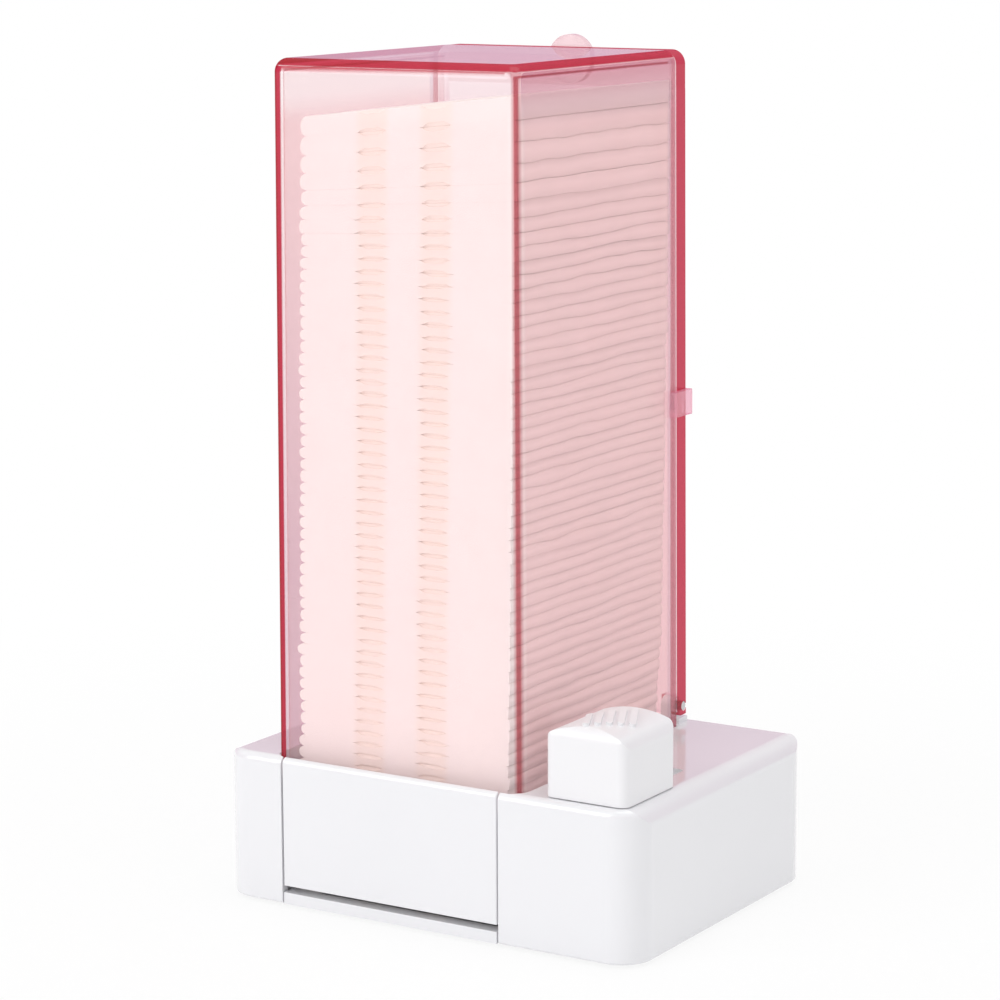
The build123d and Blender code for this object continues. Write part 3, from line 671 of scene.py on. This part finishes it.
rng = np.random.default_rng(SEED)
heights = stack_heights()
last = len(heights) - 1
levels = []
for number, height in enumerate(heights):
    loose = max(0.0, number / last - 1 + FANNED_SHARE) / FANNED_SHARE
    wave = 0.0 if number in (0, last) else WAVE
    levels.append(wavy_level(rng, height, STACK_FAN * loose * loose, wave))
wipes = []
for height, below, above in zip(heights, levels, levels[1:]):
    left = wipe_low.x + STACK_LEAN * (height - stack_low.z)
    wipes.append(wipe_grids(rng, left, wipe_low.y, below, above))
stack = wipe_mesh("wipe_stack_pads", wipes, COTTON)
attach(stack, "base")
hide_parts("wipe_stack")

flat_levels = [wavy_level(rng, height, 0.0, 0.0) for height in (wipe_low.z, wipe_high.z)]
lowest = wipe_mesh("next_wipe_pad", [wipe_grids(rng, wipe_low.x, wipe_low.y, *flat_levels)], COTTON)
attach(lowest, "lowest_wipe")
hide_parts("next_wipe")


# Floor, lamps and world

FLOOR_HALF = 12.0
SHADOW_REACH = (0.08, 0.30)
SHADOW_SHARES = (0.88, 1.0)
WORLD_LIGHT = 0.61
ROOM_TINT = (0.66, 0.42, 0.56)
ROOM_HEIGHTS = (0.32, 0.62)
# Each lamp's name, place, target, size and power in watts
LAMPS = (
    ("front_left_soft_box", (-0.45, -0.95, 0.55), (0.0, 0.0, 0.08), 0.7, 4.3),
    ("top_soft_box", (0.15, 0.1, 1.1), (0.0, 0.0, 0.1), 0.8, 3.3),
    ("right_soft_box", (1.0, -0.25, 0.45), (0.0, 0.0, 0.08), 0.7, 0.9),
)


def seen_directly(tree):
    """1 for camera, glossy and transmission rays, 0 for the light that falls on things."""
    path = node(tree, "ShaderNodeLightPath")
    seen = maths(tree, "MAXIMUM", path.outputs["Is Camera Ray"], path.outputs["Is Glossy Ray"])
    return maths(tree, "MAXIMUM", seen, path.outputs["Is Transmission Ray"])


def add_floor():
    """A pale floor that the camera sees as white, with the object's soft shadow on it."""
    mesh = bpy.data.meshes.new("floor")
    corners = [(-FLOOR_HALF, -FLOOR_HALF, 0.0), (FLOOR_HALF, -FLOOR_HALF, 0.0),
               (FLOOR_HALF, FLOOR_HALF, 0.0), (-FLOOR_HALF, FLOOR_HALF, 0.0)]
    mesh.from_pydata(corners, [], [(0, 1, 2, 3)])
    material, tree, output = new_material("pale_floor")
    place = node(tree, "ShaderNodeTexCoord")
    grain = noise(tree, place, 300.0, 2.0, 0.5)
    plain = node(tree, "ShaderNodeBsdfPrincipled", inputs={"Roughness": 0.7, "Specular IOR Level": 0.2})
    tint = ramp(tree, grain.outputs["Fac"], (0.93, 0.93, 0.93), (0.96, 0.96, 0.96))
    tree.links.new(tint.outputs["Color"], plain.inputs["Base Color"])
    glow = node(tree, "ShaderNodeEmission", inputs={"Color": (1.0, 1.0, 1.0, 1.0), "Strength": 1.0})
    away = node(tree, "ShaderNodeVectorMath", operation="LENGTH")
    tree.links.new(place.outputs["Object"], away.inputs[0])
    share = node(tree, "ShaderNodeMapRange", interpolation_type="SMOOTHSTEP",
                 inputs={"From Min": SHADOW_REACH[0], "From Max": SHADOW_REACH[1],
                         "To Min": SHADOW_SHARES[0], "To Max": SHADOW_SHARES[1]})
    tree.links.new(away.outputs["Value"], share.inputs["Value"])
    shown = maths(tree, "MULTIPLY", seen_directly(tree), share.outputs["Result"])
    surface = mixed(tree, shown, plain.outputs["BSDF"], glow.outputs["Emission"])
    tree.links.new(surface, output.inputs["Surface"])
    mesh.materials.append(material)
    floor = bpy.data.objects.new("floor", mesh)
    bpy.context.scene.collection.objects.link(floor)


def add_world():
    """Soft even light. The camera sees plain white, and level reflections show a low rose wall."""
    world = bpy.data.worlds.new("world")
    bpy.context.scene.world = world
    world.use_nodes = True
    tree = world.node_tree
    tree.nodes.clear()
    output = tree.nodes.new("ShaderNodeOutputWorld")
    light = node(tree, "ShaderNodeBackground",
                 inputs={"Color": (1.0, 1.0, 1.0, 1.0), "Strength": WORLD_LIGHT})
    white = node(tree, "ShaderNodeBackground", inputs={"Strength": 1.0})
    place = node(tree, "ShaderNodeTexCoord")
    height = parts_of(tree, place.outputs["Generated"])["Z"]
    tint = ramp(tree, height, ROOM_TINT, (1.0, 1.0, 1.0), *ROOM_HEIGHTS)
    shown = node(tree, "ShaderNodeMix", data_type="RGBA", inputs={6: (1.0, 1.0, 1.0, 1.0)})
    tree.links.new(node(tree, "ShaderNodeLightPath").outputs["Is Glossy Ray"], shown.inputs["Factor"])
    tree.links.new(tint.outputs["Color"], shown.inputs[7])
    tree.links.new(shown.outputs[2], white.inputs["Color"])
    sky = mixed(tree, seen_directly(tree), light.outputs["Background"], white.outputs["Background"])
    tree.links.new(sky, output.inputs["Surface"])


def add_lamp(name, place, target, size, power):
    """A square soft box that points at a target."""
    data = bpy.data.lights.new(name, "AREA")
    data.shape = "SQUARE"
    data.size = size
    data.energy = power
    lamp = bpy.data.objects.new(name, data)
    lamp.location = place
    lamp.rotation_euler = (Vector(target) - Vector(place)).to_track_quat("-Z", "Y").to_euler()
    bpy.context.scene.collection.objects.link(lamp)


add_floor()
add_world()
for lamp in LAMPS:
    add_lamp(*lamp)

scene = bpy.context.scene
scene.view_settings.view_transform = "Standard"
